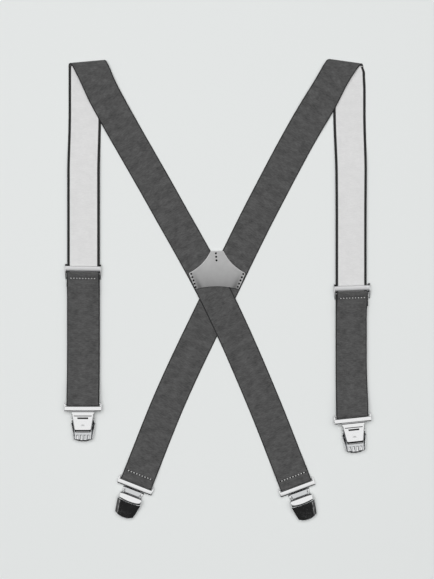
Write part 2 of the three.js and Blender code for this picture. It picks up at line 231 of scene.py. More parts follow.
def hole_walls(index, under, hole):
    """The walls of a rectangular hole in a plate: each edge of the upper face joined to the one below."""
    first, last, left, right = hole
    rim, below = (
        np.concatenate([
            grid[first:last, left], grid[last, left:right],
            grid[last:first:-1, right], grid[first, right:left:-1],
        ])
        for grid in (index, under)
    )
    return np.stack([rim, np.roll(rim, -1), np.roll(below, -1), below], -1)


def sheet_shell(surface, thickness, edge=None, hole=None):
    """A plate from a middle surface on a grid: points move half the thickness both ways along the normal.

    surface is (rows, columns, 3). Within `edge` of the border the thickness falls as a quarter circle, so
    both faces meet in a rounded rim. hole is the first and last row and column of a rectangular opening.
    """
    rows, columns, _ = surface.shape
    edge = thickness / 2 if edge is None else edge
    normal = np.cross(np.gradient(surface, axis=0), np.gradient(surface, axis=1))
    normal /= np.maximum(np.linalg.norm(normal, axis=2, keepdims=True), 1e-9)
    inset = np.minimum(reach_in(surface, 0), reach_in(surface, 1))
    fullness = np.sqrt(1 - (1 - np.clip(inset / edge, 0, 1)) ** 2)
    offset = normal * (fullness * thickness / 2)[..., None]
    index = np.arange(rows * columns).reshape(rows, columns)
    under = index.copy()
    under[1:-1, 1:-1] = rows * columns + np.arange((rows - 2) * (columns - 2)).reshape(rows - 2, columns - 2)
    lower = (surface - offset)[1:-1, 1:-1]
    points = np.concatenate([(surface + offset).reshape(-1, 3), lower.reshape(-1, 3)])
    top = np.stack([index[:-1, :-1], index[1:, :-1], index[1:, 1:], index[:-1, 1:]], -1)
    bottom = np.stack([under[:-1, :-1], under[:-1, 1:], under[1:, 1:], under[1:, :-1]], -1)
    kept = np.ones(top.shape[:2], bool)
    walls = np.zeros((0, 4), int)
    if hole is not None:
        kept[hole[0]:hole[1], hole[2]:hole[3]] = False
        walls = hole_walls(index, under, hole)
    return points, [top[kept], bottom[kept], walls], None


def slab(outline, x0, x1, edge=0.2):
    """A plate across X from an outline in (y, z), its edges eased by `edge`.

    Four rings along X: the outline drawn in towards its middle, the full outline twice, and drawn in again.
    """
    outline = np.asarray(outline, float)
    area = np.sum(outline[:, 0] * np.roll(outline[:, 1], -1) - np.roll(outline[:, 0], -1) * outline[:, 1])
    if area < 0:
        outline = outline[::-1]
    middle = outline.mean(0)
    reach = np.linalg.norm(outline - middle, axis=1, keepdims=True)
    small = middle + (outline - middle) * (1 - edge / reach)
    rings = []
    for x, ring in ((x0, small), (x0 + edge, outline), (x1 - edge, outline), (x1, small)):
        rings.append(np.column_stack([np.full(len(ring), x), ring]))
    return loft(np.array(rings))


def slab_pair(outline, near, far, edge=0.2):
    """The same plate on both hands, from near to far on either side of X = 0."""
    return [slab(outline, *sorted((hand * near, hand * far)), edge) for hand in (-1, 1)]


def disc(y, z, radius, count=28):
    angle = np.linspace(0, 2 * np.pi, count, endpoint=False)
    return np.column_stack([y + radius * np.cos(angle), z + radius * np.sin(angle)])


def rod(y, z, radius, half, dome=0.3):
    """A round bar along X with eased ends: the radius shrinks as a quarter circle over the dome."""
    ease = np.linspace(0, np.pi / 2, 5)[:-1]
    x = np.concatenate([-half + dome * (1 - np.cos(ease)), [-half + dome, half - dome]])
    shrink = np.concatenate([radius - dome * (1 - np.sin(ease)), [radius, radius]])
    x = np.concatenate([x, half - dome * (1 - np.cos(ease[::-1]))])
    shrink = np.concatenate([shrink, radius - dome * (1 - np.sin(ease[::-1]))])
    angle = np.linspace(0, 2 * np.pi, 20, endpoint=False)
    ring = np.stack([np.zeros(20), np.cos(angle), np.sin(angle)], -1)
    rings = ring[None] * shrink[:, None, None]
    rings[..., 0] = x[:, None]
    return loft(rings + np.array([0, y, z]))


def smooth_step(value):
    value = np.clip(value, 0, 1)
    return value * value * (3 - 2 * value)


def eased(at, keys):
    """Heights along a length: between two keys the height follows a smooth step."""
    keys = np.array(keys, float)
    at = np.clip(at, keys[0, 0], keys[-1, 0])
    segment = np.clip(np.searchsorted(keys[:, 0], at, side="right") - 1, 0, len(keys) - 2)
    start, stop = keys[segment], keys[segment + 1]
    share = (at - start[..., 0]) / (stop[..., 0] - start[..., 0])
    return start[..., 1] + (stop[..., 1] - start[..., 1]) * smooth_step(share)


def unit(vectors):
    return vectors / np.linalg.norm(vectors, axis=-1, keepdims=True)


# ---- webbing

FACE_SPLIT = 0.05  # U of the inner face starts here, so a material can tell the two faces apart


def webbing_profile(width, thickness):
    """The cross-section as (across, out) points, anticlockwise, with the U values of its segments.

    The thickness is even, with a shallow groove inside each selvedge, and the edges are half rounds.
    """
    half, depth = width / 2, thickness / 2
    flat = half - depth
    face = np.concatenate([np.linspace(flat, flat - 3, 9), np.linspace(flat - 5, 5 - flat, 7),
                           np.linspace(3 - flat, -flat, 9)])
    groove = 1 - 0.16 * np.exp(-(((np.abs(face) - (flat - 1.6)) / 0.45) ** 2))
    turn = np.linspace(np.pi / 2, 3 * np.pi / 2, 7)[1:-1]
    top = np.column_stack([face, depth * groove])
    left = np.column_stack([-flat + depth * np.cos(turn), depth * np.sin(turn)])
    profile = np.concatenate([top, left, -top, -left])
    u = np.concatenate([top[:, 0] + half, left[:, 0] + half, -top[:, 0] + half, -left[:, 0] + half])
    after = np.roll(u, -1)
    pairs = np.stack([u, after], -1)
    first_inner = len(top) + len(left)
    inner = slice(first_inner, first_inner + len(top) - 1)
    pairs[inner] += FACE_SPLIT / MM
    return profile, pairs * MM


def strap_rings(centres, across, along, profile, lift):
    """The webbing's cross-section carried along a path: centre + across x first value + out x second value.

    The outer face looks along travel x across. lift raises points by a function of their plan place.
    """
    travel = unit(np.gradient(centres, along, axis=0))
    out = unit(np.cross(travel, across))
    rings = (
        centres[:, None, :]
        + across[:, None, :] * profile[None, :, :1]
        + out[:, None, :] * profile[None, :, 1:]
    )
    rings[..., 2] += lift(rings[..., :2])
    return rings


def measured(centres):
    """The distance travelled along a line of points."""
    return np.concatenate([[0], np.cumsum(np.linalg.norm(np.diff(centres, axis=0), axis=1))])


def plan_curve(points, step=1.0):
    """A smooth plan route through points: a cubic between neighbours with slopes taken across them."""
    points = np.array(points, float)
    chord = np.linalg.norm(np.diff(points, axis=0), axis=1)
    knots = measured(points)
    slopes = np.gradient(points, knots, axis=0)
    count = int(knots[-1] / step) + 1
    at = np.linspace(0, knots[-1], count)
    segment = np.clip(np.searchsorted(knots, at, side="right") - 1, 0, len(points) - 2)
    width = chord[segment][:, None]
    t = (at[:, None] - knots[segment][:, None]) / width
    route = (
        (2 * t**3 - 3 * t**2 + 1) * points[segment]
        + (t**3 - 2 * t**2 + t) * width * slopes[segment]
        + (3 * t**2 - 2 * t**3) * points[segment + 1]
        + (t**3 - t**2) * width * slopes[segment + 1]
    )
    return route, measured(route)


def square_across(route):
    """The unit vectors square to a plan route, to the right when it runs towards -Y."""
    along = unit(np.gradient(route, axis=0))
    return np.column_stack([-along[:, 1], along[:, 0]])


def back_route(side):
    crease, _ = joint_place(f"shoulder_{side}")
    clip, _ = joint_place(f"back_clip_swing_{side}")
    points = [crease[:2], SHOULDER_BEND[side], UPPER_BEND[side], CROSSING, LOWER_BEND[side], clip[:2]]
    return plan_curve(points)


def distance_to(points, route):
    """The plan distance from each point to a route drawn as short straight lines."""
    gaps = points[:, None, :] - route[None, ::4, :]
    return np.sqrt((gaps**2).sum(-1).min(1))


def half_turn(centre, radius, away, start, steps=16):
    """Points of a half circle round a bar: radius x (start cos a + away sin a), a from 0 to 180 degrees."""
    angle = np.linspace(0, np.pi, steps + 1)[:, None]
    return centre + radius * (start * np.cos(angle) + away * np.sin(angle))


def turned(away_from, towards, share):
    """Half-width directions that turn from one to the other and keep the strap's width square to its run."""
    mixed = unit(away_from * (1 - share[:, None]) + towards * share[:, None])
    return mixed / (mixed * away_from).sum(1, keepdims=True)


UP = np.array([0.0, 0.0, 1.0])
SIDEWAYS = np.array([1.0, 0.0, 0.0])
HEM = 14.0
BACK_HEM_ROW = 8.1  # from the back clip's loop bar to its row of stitches
ADJUSTER_HEM_ROW = 10.4  # from the middle of the adjuster's bar to its row of stitches
COVER_PIN = {"y": -10.5, "z": 1.0}
OVER_HEM = 2.15  # centre height of the strap where it lies over its own hem
WRAP_BAR = {"y": -5.5, "z": 5.7, "r": 0.5}
FOLD_REACH = 14.0  # the folded stretch of strap on each side of the crease


# Sideways play: the webbing is a little narrower than the metal it runs through, and the fold isn't square.
STRAP_DRIFT = {"left": 0.3, "right": -0.9}
FOLD_OFFSET = {"left": -2.6, "right": 3.7}


# The fold isn't square either: how far the outer and the inner edge are drawn inboard, keyed by the distance
# along the strap from the start of the fold.
FOLD_TUCK = {
    "left": (((0, 0), (6, 2.0), (46, 0)), ((-14, 0), (0, 2.0), (6, 2.0), (46, 0))),
    "right": (((-30, 0), (-9, 0.7), (0, 2.8), (10, 4.3), (60, 0)), ((-14, 0), (0, 1.7), (8, 1.7), (50, 0))),
}


# The right strap lies cupped between its fold and its clip, so it looks narrower from above. Shares of its
# width, keyed by the distance along the strap before the fold.
CUPPED = ((-440, 0.95), (-375, 0.985), (-310, 0.95), (-170, 0.95), (-40, 1.0))


def fold_tuck(side, from_fold, profile, across):
    """The inboard shift of each point near the fold, eased from the inner edge to the outer edge."""
    outward = -1 if side == "left" else 1
    outer, inner = (eased(from_fold, keys)[:, None] for keys in FOLD_TUCK[side])
    half = np.abs(profile[:, 0]).max()
    share = smooth_step((profile[None, :, 0] * outward + half) / (2 * half))
    return (inner + (outer - inner) * share)[..., None] * -outward * unit(across)[:, None, :]


def wrap_radius(bar_radius, settings):
    return bar_radius + 0.3 + settings.thickness / MM / 2


def slider_place(side):
    """The adjuster's place: the point under the middle of its visible bar and its three directions."""
    pin, axis = joint_place(f"adjuster_cover_{side}")
    up_strap = np.cross(UP, -axis)
    return pin - up_strap * COVER_PIN["y"] - UP * pin[2], -axis, up_strap, UP


def clip_place(end, side):
    """A clip's origin on the strap's middle line and its three directions. Front clips lie face down."""
    bar, axis = joint_place(f"{end}_clip_swing_{side}")
    facing = 1 if end == "back" else -1
    return bar - UP * LOOP_BAR_HEIGHT * facing, axis * facing, np.cross(UP, axis), UP * facing


def return_stretch(side, settings):
    """From the hem under the adjuster's hidden bar, round the bar, and down to the front clip's loop bar."""
    origin, slider_across, up_strap, _ = slider_place(side)
    bar, bar_axis = joint_place(f"front_clip_swing_{side}")
    hidden = origin + up_strap * WRAP_BAR["y"] + UP * WRAP_BAR["z"]
    radius = wrap_radius(WRAP_BAR["r"], settings)
    turn = half_turn(hidden, radius, up_strap, -UP)
    hem = turn[0] - up_strap * np.linspace(HEM, 0, 15)[:-1, None]
    run = hidden[1] - bar[1]
    down = np.linspace(0, run, 120)[1:]
    over = bar[2] + wrap_radius(1, settings)
    keys = [(0, hidden[2] + radius), (2, hidden[2] + radius), (6.5, 5.75), (15, 5.7), (27, 4.35),
            (run - 34, 4.35), (run - 1, over), (run, over)]
    settled = STRAP_DRIFT[side] * smooth_step(down / 20) * smooth_step((run - down) / 60)
    x = hidden[0] + (bar[0] - hidden[0]) * smooth_step(down / 30) + settled
    top = np.column_stack([x, hidden[1] - down, eased(down, keys)])
    settle = smooth_step(down / 25)[:, None]
    share = smooth_step((down - run + 30) / 30)[:, None]
    across = (slider_across * (1 - settle) + SIDEWAYS * settle) * (1 - share) + bar_axis * share
    return np.concatenate([hem, turn, top]), np.concatenate([
        np.tile(slider_across, (len(hem) + len(turn), 1)), unit(across)
    ])


def running_stretch(side, settings):
    """Round the front clip's loop bar and up under the return stretch to the adjuster's highest place."""
    bar, bar_axis = joint_place(f"front_clip_swing_{side}")
    radius = wrap_radius(1, settings)
    turn = half_turn(bar, radius, np.cross(bar_axis, UP), UP)
    y = np.linspace(bar[1], RUN_TOP, 180)[1:]
    z = eased(y - bar[1], [(0, bar[2] - radius), (24, RUN_HEIGHT), (400, RUN_HEIGHT)])
    x = bar[0] + STRAP_DRIFT[side] * smooth_step((y - bar[1]) / 60)
    up = np.column_stack([x, y, z])
    share = (1 - smooth_step((y - bar[1]) / 30))[:, None]
    across = unit(SIDEWAYS * (1 - share) + bar_axis * share)
    return np.concatenate([turn, up]), np.concatenate([np.tile(bar_axis, (len(turn), 1)), across])


def front_stretch(side, settings):
    """Up the front from the adjuster's highest place to the crease on the shoulder."""
    low = settings.thickness / MM / 2
    crease, crease_axis = joint_place(f"shoulder_{side}")
    strap_x = joint_place(f"front_clip_swing_{side}")[0][0] + STRAP_DRIFT[side]
    y = np.linspace(RUN_TOP, crease[1], 120)
    x = strap_x + (crease[0] + FOLD_OFFSET[side] - strap_x) * smooth_step((y - RUN_TOP) / 70)
    z = eased(y, [(RUN_TOP, RUN_HEIGHT), (RUN_TOP + 6, RUN_HEIGHT), (RUN_TOP + 48, low), (crease[1], low)])
    share = 1 - smooth_step((crease[1] - y) / 26)
    return np.column_stack([x, y, z]), turned(np.tile(SIDEWAYS, (len(y), 1)), crease_axis, share)


def back_stretch(side, settings):
    """Down the back from the crease along its plan route, to the back clip's loop bar."""
    low = settings.thickness / MM / 2
    _, crease_axis = joint_place(f"shoulder_{side}")
    _, bar_axis = joint_place(f"back_clip_swing_{side}")
    route, travelled = back_route(side)
    length = travelled[-1]
    top = 2 * FOLD_HEIGHT - low
    keys = [(0, top), (FOLD_REACH, top - 0.05), (66, 2.1), (94, low), (length - 34, low),
            (length - 16, OVER_HEM), (length - 6, OVER_HEM),
            (length - 0.5, LOOP_BAR_HEIGHT + wrap_radius(1, settings))]
    square = np.column_stack([square_across(route), np.zeros(len(route))])
    across = turned(square, crease_axis, 1 - smooth_step(travelled / 26))
    share = smooth_step((travelled - length + 20) / 20)[:, None]
    return np.column_stack([route, eased(travelled, keys)]), across * (1 - share) + bar_axis * share


def strap_path(side, settings):
    """A whole strap as one path, from its hem in the adjuster to its hem in the back clip.

    Returns the centres, the half-width directions and the index at which each named stretch starts.
    """
    back_turn, back_axis = joint_place(f"back_clip_swing_{side}")
    towards_tip = np.cross(back_axis, UP)
    crease, crease_axis = joint_place(f"shoulder_{side}")
    turn_away = np.cross(UP, crease_axis)
    stretches = [make(side, settings) for make in (return_stretch, running_stretch, front_stretch)]
    back = back_stretch(side, settings)
    fold = half_turn(crease, FOLD_HEIGHT - settings.thickness / MM / 2, turn_away, -UP)
    fold -= turn_away * 0.5 * np.sin(np.linspace(0, np.pi, len(fold)))[:, None]
    fold[:, 0] += FOLD_OFFSET[side] * np.linspace(1, 0, len(fold))
    fold_across = np.linspace(stretches[-1][1][-1], back[1][0], len(fold))
    turn = half_turn(back_turn, wrap_radius(1, settings), towards_tip, UP)
    hem = turn[-1] - towards_tip * np.linspace(0, HEM, 15)[1:, None]
    end = np.concatenate([turn, hem])
    stretches += [(fold, fold_across), back, (end, np.tile(back_axis, (len(end), 1)))]
    # Neighbouring stretches share a point, which is kept once.
    firsts = np.cumsum([0] + [len(points) - 1 for points, _ in stretches])
    centres = np.concatenate([points[:-1] for points, _ in stretches] + [stretches[-1][0][-1:]])
    across = np.concatenate([sides[:-1] for _, sides in stretches] + [stretches[-1][1][-1:]])
    names = ("return", "running", "front", "fold", "back", "end")
    return centres, across, dict(zip(names, firsts))


def raised_by_other(plan, side, settings, reach):
    """How far a strap rises where it passes over the other one: a smooth step across that one's edges."""
    raised = np.zeros(plan.shape[:-1])
    near = np.linalg.norm(plan - CROSSING, axis=-1) < 80
    gap = distance_to(plan[near], back_route("right" if side == "left" else "left")[0])
    half = settings.width / MM / 2
    raised[near] = (settings.thickness / MM + 0.05) * smooth_step((half + reach - gap) / reach)
    return raised


def crossing_lift(side, settings):
    """The left strap passes over the right one."""
    if side == "right":
        return lambda plan: 0
    return lambda plan: raised_by_other(plan, side, settings, 9)


# ---- thread

STITCHES = 9
STITCH_ROW = 28.0


def stitch_shells(start, stop, count, rise, radius, gap=0.42):
    """A row of stitches: short tubes whose middle line rises as a sine between its two holes."""
    shells = []
    angle = np.linspace(0, 2 * np.pi, 8, endpoint=False)
    along = unit(stop - start)
    side = np.cross(UP, along)
    pitch = (stop - start) / count
    t = np.linspace(0, 1, 9)[:, None]
    for number in range(count):
        first = start + pitch * (number + gap / 2)
        centres = first + pitch * (1 - gap) * t + UP * (rise * np.sin(np.pi * t) - radius * 0.6)
        size = radius * np.sqrt(np.clip(1 - (2 * t - 1) ** 6, 0.05, 1))
        ring = side * np.cos(angle)[:, None] + UP * np.sin(angle)[:, None]
        shells.append(loft(centres[:, None, :] + ring[None] * size[:, :, None]))
    return shells


def hole_shells(centres, radius, depth):
    """Small flattened balls, one at each needle hole."""
    shells = []
    lean = np.linspace(-np.pi / 2, np.pi / 2, 7)[1:-1]
    angle = np.linspace(0, 2 * np.pi, 10, endpoint=False)
    ring = np.stack([np.cos(angle), np.sin(angle), np.zeros(10)], -1)
    for centre in centres:
        rings = centre + ring[None] * (radius * np.cos(lean))[:, None, None]
        rings = rings + UP * (depth * np.sin(lean))[:, None, None]
        shells.append(loft(rings))
    return shells


# ---- shared shader effects


def node_group(name, inputs, outputs):
    """A new shader node group with float, vector or colour sockets."""
    group = bpy.data.node_groups.new(name, "ShaderNodeTree")
    for socket, kind, default in inputs:
        made = group.interface.new_socket(socket, in_out="INPUT", socket_type=f"NodeSocket{kind}")
        if default is not None:
            made.default_value = default
    for socket, kind in outputs:
        group.interface.new_socket(socket, in_out="OUTPUT", socket_type=f"NodeSocket{kind}")
    return group, group.nodes.new("NodeGroupInput"), group.nodes.new("NodeGroupOutput")


class Wiring:
    """Adds nodes to a tree: a value given to a socket is either a number or another node's output."""

    def __init__(self, tree):
        self.tree = tree

    def put(self, value, socket):
        if isinstance(value, bpy.types.NodeSocket):
            self.tree.links.new(value, socket)
        else:
            socket.default_value = value

    def fill(self, node, values):
        for socket, value in values.items():
            self.put(value, node.inputs[socket])

    def vector(self, x, y, z):
        return self.add("CombineXYZ", {"X": x, "Y": y, "Z": z}).outputs[0]

    def add(self, kind, values=(), **options):
        node = self.tree.nodes.new(f"ShaderNode{kind}")
        for option, value in options.items():
            setattr(node, option, value)
        for socket, value in dict(values).items():
            self.put(value, node.inputs[socket])
        return node

    def maths(self, operation, *values):
        return self.add("Math", enumerate(values), operation=operation).outputs[0]

    def ramp(self, value, low, high, start=0.0, stop=1.0):
        """Maps value from low..high to start..stop with a smooth step."""
        values = {"Value": value, "From Min": low, "From Max": high, "To Min": start, "To Max": stop}
        return self.add("MapRange", values, interpolation_type="SMOOTHSTEP").outputs["Result"]

    def noise(self, vector, scale, detail=2.0, roughness=0.5):
        values = {"Vector": vector, "Scale": scale, "Detail": detail, "Roughness": roughness}
        return self.add("TexNoise", values).outputs["Fac"]

    def times(self, first, second):
        return self.maths("MULTIPLY", first, second)

    def plus(self, first, second):
        return self.maths("ADD", first, second)

    def grey(self, level):
        return self.add("CombineColor", {"Red": level, "Green": level, "Blue": level}).outputs[0]

    def toned(self, colour, level):
        """A colour multiplied by a grey level."""
        grey = self.grey(level)
        node = self.add("Mix", data_type="RGBA", blend_type="MULTIPLY")
        for value, socket in ((1.0, node.inputs[0]), (colour, node.inputs[6]), (grey, node.inputs[7])):
            self.put(value, socket)
        return node.outputs[2]

    def mix(self, share, first, second):
        node = self.add("Mix", data_type="RGBA")
        for value, socket in ((share, node.inputs[0]), (first, node.inputs[6]), (second, node.inputs[7])):
            self.put(value, socket)
        return node.outputs[2]


RIB = 0.0012  # metres from one rib of the weave to the next


def weave_group():
    """Elastic webbing in UV metres: U runs across the strap, V along it.

    Height is half of cos(2 pi v / pick) x cos(2 pi u / rib) plus the noise of the streaks. Colour is the
    face's own, streaked along the weft, and turns to the selvedge's within a band at both edges.
    """
    group, given, result = node_group(
        "Weave",
        [("Outer", "Color", None), ("Inner", "Color", None), ("Selvedge", "Color", None),
         ("Width", "Float", None), ("Pick", "Float", 0.0009)],
        [("Color", "Color"), ("Height", "Float"), ("Roughness", "Float")],
    )
    wire = Wiring(group)
    place = wire.add("UVMap").outputs["UV"]
    parts = wire.add("SeparateXYZ", {"Vector": place}).outputs
    u, v = parts["X"], parts["Y"]
    inner = wire.maths("GREATER_THAN", u, FACE_SPLIT - 0.002)
    across = wire.maths("SUBTRACT", u, wire.times(inner, FACE_SPLIT))
    to_edge = wire.maths("MINIMUM", across, wire.maths("SUBTRACT", given.outputs["Width"], across))
    rows = wire.maths("COSINE", wire.times(wire.maths("DIVIDE", v, given.outputs["Pick"]), 2 * math.pi))
    ribs = wire.maths("COSINE", wire.times(across, 2 * math.pi / RIB))
    streaks = wire.vector(wire.times(across, 260.0), wire.times(v, 1100.0), inner)
    patches = wire.vector(wire.times(across, 90.0), wire.times(v, 160.0), 3.0)
    streak = wire.noise(streaks, 1.0, 3.0, 0.6)
    patch = wire.noise(patches, 1.0, 3.0, 0.6)
    woven = wire.times(rows, ribs)
    shade = wire.plus(wire.ramp(streak, 0.25, 0.75, 0.72, 1.28), wire.ramp(patch, 0.25, 0.75, -0.22, 0.22))
    shade = wire.plus(shade, wire.times(woven, 0.07))
    face = wire.mix(inner, given.outputs["Outer"], given.outputs["Inner"])
    # The light face hardly shows its streaks.
    shade = wire.plus(wire.times(shade, wire.ramp(inner, 0, 1, 1.0, 0.12)),
                       wire.times(inner, 0.88))
    toned = wire.toned(face, shade)
    band = wire.plus(0.0010, wire.times(inner, 0.0017))
    rim = wire.ramp(wire.maths("SUBTRACT", to_edge, band), -0.0002, 0.0004, 1.0, 0.0)
    wire.fill(result, {
        "Color": wire.mix(rim, toned, given.outputs["Selvedge"]),
        "Height": wire.plus(wire.times(woven, 0.5), wire.times(streak, 0.9)),
        "Roughness": wire.ramp(streak, 0.2, 0.8, 0.72, 0.9),
    })
    return group


def grain_group():
    """Smooth leather: shallow cells and a soft tone.

    The attribute `cut` lightens the cut edge. A second attribute darkens the leather with painted shade,
    more towards the lower edge and beside the seams.
    """
    group, given, result = node_group(
        "Grain", [("Base", "Color", None)], [("Color", "Color"), ("Height", "Float"), ("Roughness", "Float")]
    )
    wire = Wiring(group)
    place = wire.add("TexCoord").outputs["Object"]
    cells = wire.add("TexVoronoi", {"Vector": place, "Scale": 1100.0}).outputs["Distance"]
    tone = wire.noise(place, 90.0, 4.0, 0.6)
    cut = wire.add("Attribute", attribute_name="cut").outputs["Fac"]
    painted_shade = wire.add("Attribute", attribute_name="painted_shade").outputs["Fac"]
    shade = wire.times(wire.ramp(tone, 0.3, 0.7, 0.95, 1.05), wire.ramp(cut, 0, 1, 1.0, 1.5))
    # Painted shade: the leather is drawn darker towards its lower edge and beside the seams, for the light
    # falling off over the draped patch.
    shade = wire.times(shade, wire.maths("SUBTRACT", 1.12, wire.times(painted_shade, 0.62)))
    wire.fill(result, {
        "Color": wire.toned(given.outputs["Base"], shade),
        "Height": wire.plus(cells, wire.times(tone, 0.5)),
        "Roughness": wire.ramp(tone, 0.3, 0.7, 0.36, 0.5),
    })
    return group


def plate_group():
    """Plated metal: a little unevenness in the polish and a faint dullness."""
    group, given, result = node_group(
        "Plate", [("Base", "Color", None), ("Polish", "Float", 0.07)],
        [("Color", "Color"), ("Roughness", "Float"), ("Height", "Float")],
    )
    wire = Wiring(group)
    place = wire.add("TexCoord").outputs["Object"]
    haze = wire.noise(place, 300.0, 3.0, 0.6)
    waves = wire.noise(place, 160.0, 1.0, 0.4)
    dulled = wire.plus(given.outputs["Polish"], wire.ramp(haze, 0.35, 0.75, 0.0, 0.07))
    wire.fill(result, {"Color": given.outputs["Base"], "Roughness": dulled, "Height": waves})
    return group


def surfaced(name, connect):
    """The named material, made only once: connect(wiring, shader) sets up its Principled shader."""
    material = bpy.data.materials.get(name)
    if not material:
        material = bpy.data.materials.new(name)
        material.use_nodes = True
        connect(Wiring(material.node_tree), material.node_tree.nodes["Principled BSDF"])
    return material


def shaded(name, group_maker, inputs, depth, finish):
    """A material whose colour, roughness and bump come from a shared group, with constants on the shader."""

    def connect(wire, shader):
        made = bpy.data.node_groups.get(group_maker.__name__.split("_")[0].title()) or group_maker()
        effect = wire.add("Group", node_tree=made)
        wire.fill(effect, inputs)
        bump = wire.add("Bump", {"Strength": 1.0, "Distance": depth, "Height": effect.outputs["Height"]})
        wire.fill(shader, {
            "Base Color": effect.outputs["Color"], "Roughness": effect.outputs["Roughness"],
            "Normal": bump.outputs["Normal"], **finish,
        })

    return surfaced(name, connect)


def opaque(colour):
    return (*colour, 1.0)


def webbing_material():
    settings = bpy.context.scene.suspenders_strap
    inputs = {"Outer": opaque(settings.outer), "Inner": opaque(settings.inner), "Width": settings.width,
              "Selvedge": opaque(settings.selvedge), "Pick": settings.pick}
    finish = {"Specular IOR Level": 0.25, "Sheen Weight": 0.08}
    return shaded("Webbing", weave_group, inputs, 0.00012, finish)


def leather_material():
    settings = bpy.context.scene.suspenders_leather
    inputs = {"Base": opaque(settings.colour)}
    return shaded("Leather", grain_group, inputs, 0.00006, {"Specular IOR Level": 0.45})


def plated(name, colour, polish, finish=None):
    inputs = {"Base": opaque(colour), "Polish": polish}
    return shaded(name, plate_group, inputs, 0.00002, finish or {"Metallic": 1.0})


def chrome_material():
    settings = bpy.context.scene.suspenders_metal
    return plated("Chrome", settings.chrome, settings.roughness)


def satin_material():
    settings = bpy.context.scene.suspenders_metal
    return plated("SatinChrome", settings.chrome, settings.satin)


def steel_material():
    settings = bpy.context.scene.suspenders_metal
    return plated("Steel", settings.steel, settings.roughness * 2)


# Near-black metal that paints shade: the plate under each clip's slot and the adjusters' lugs.
def dark_steel_material():
    return plated("PaintedShadeMetal", (0.02, 0.02, 0.02), 0.45, {"Specular IOR Level": 0.2})


def plain_material(name, colour, roughness):
    """One flat colour with hardly any shine."""
    values = {"Base Color": opaque(colour), "Roughness": roughness, "Specular IOR Level": 0.1}
    return surfaced(name, lambda wire, shader: wire.fill(shader, values))


def thread_material(name, colour):
    return plain_material(name, colour, 0.8)


# ---- stamped metal


def placed(shells, place):
    """Moves shells from a clip's or adjuster's own frame to where it lies: origin + x X + y Y + z Z."""
    origin, x_way, y_way, z_way = place
    turn = np.array([x_way, y_way, z_way])
    return [(points @ turn + origin, faces, uv) for points, faces, uv in shells]


def rounded_bar(y, z, half_y, half_z, half_x, dome, square=2.3, upper=None):
    """A domed bar along X. Its section is a squarish oval, |y/a|^n + |z/b|^n = 1 with n = square.

    upper is the oval's half-length a on its +Y side, where it differs.
    """
    angle = np.linspace(0, 2 * np.pi, 48, endpoint=False)
    power = 2 / square
    cos, sin = np.cos(angle), np.sin(angle)
    oval_y = np.where(cos > 0, upper or half_y, half_y) * np.sign(cos) * np.abs(cos) ** power
    oval_z = half_z * np.sign(sin) * np.abs(sin) ** power
    ring = np.column_stack([oval_y, oval_z])
    ease = np.linspace(0, np.pi / 2, 6)[:-1]
    inward = 1 - (1 - np.sin(ease)) * dome / half_y
    start = -half_x + dome * (1 - np.cos(ease))
    x = np.concatenate([start, np.linspace(dome - half_x, half_x - dome, 9), -start[::-1]])
    size = np.concatenate([inward, np.ones(9), inward[::-1]])
    rings = np.zeros((len(x), len(ring), 3))
    rings[..., 0] = x[:, None]
    rings[..., 1:] = ring[None] * size[:, None, None] + np.array([y, z])
    return loft(rings)


def path_rows(points, step):
    """Points spaced evenly along a line through (y, z) corner points, its corners rounded by averaging."""
    points = np.array(points, float)
    travelled = measured(points)
    at = np.linspace(0, travelled[-1], int(travelled[-1] / step) + 1)
    rows = np.column_stack([np.interp(at, travelled, points[:, 0]), np.interp(at, travelled, points[:, 1])])
    padded = np.concatenate([2 * rows[:1] - rows[3:0:-1], rows, 2 * rows[-1:] - rows[-2:-5:-1]])
    window = np.array([1, 2, 3, 4, 3, 2, 1]) / 16
    return np.column_stack([np.convolve(padded[:, axis], window, "valid") for axis in (0, 1)])


def plate_surface(rows, half_width, columns=49):
    """A stamped plate's middle surface: each row of the (y, z) path widened to its half-width along X."""
    across = spread(columns) * 2 - 1
    half = np.interp(-rows[:, 0], [key for key, _ in half_width], [value for _, value in half_width])
    surface = np.zeros((len(rows), columns, 3))
    surface[..., 0] = half[:, None] * across
    surface[..., 1:] = rows[:, None, :]
    return surface, np.broadcast_to(across, surface.shape[:2]), half[:, None]


TEETH = 5
JAW_PIN = (-10.9, 2.6)
LEVER_PIN = (-15.9, 5.2)


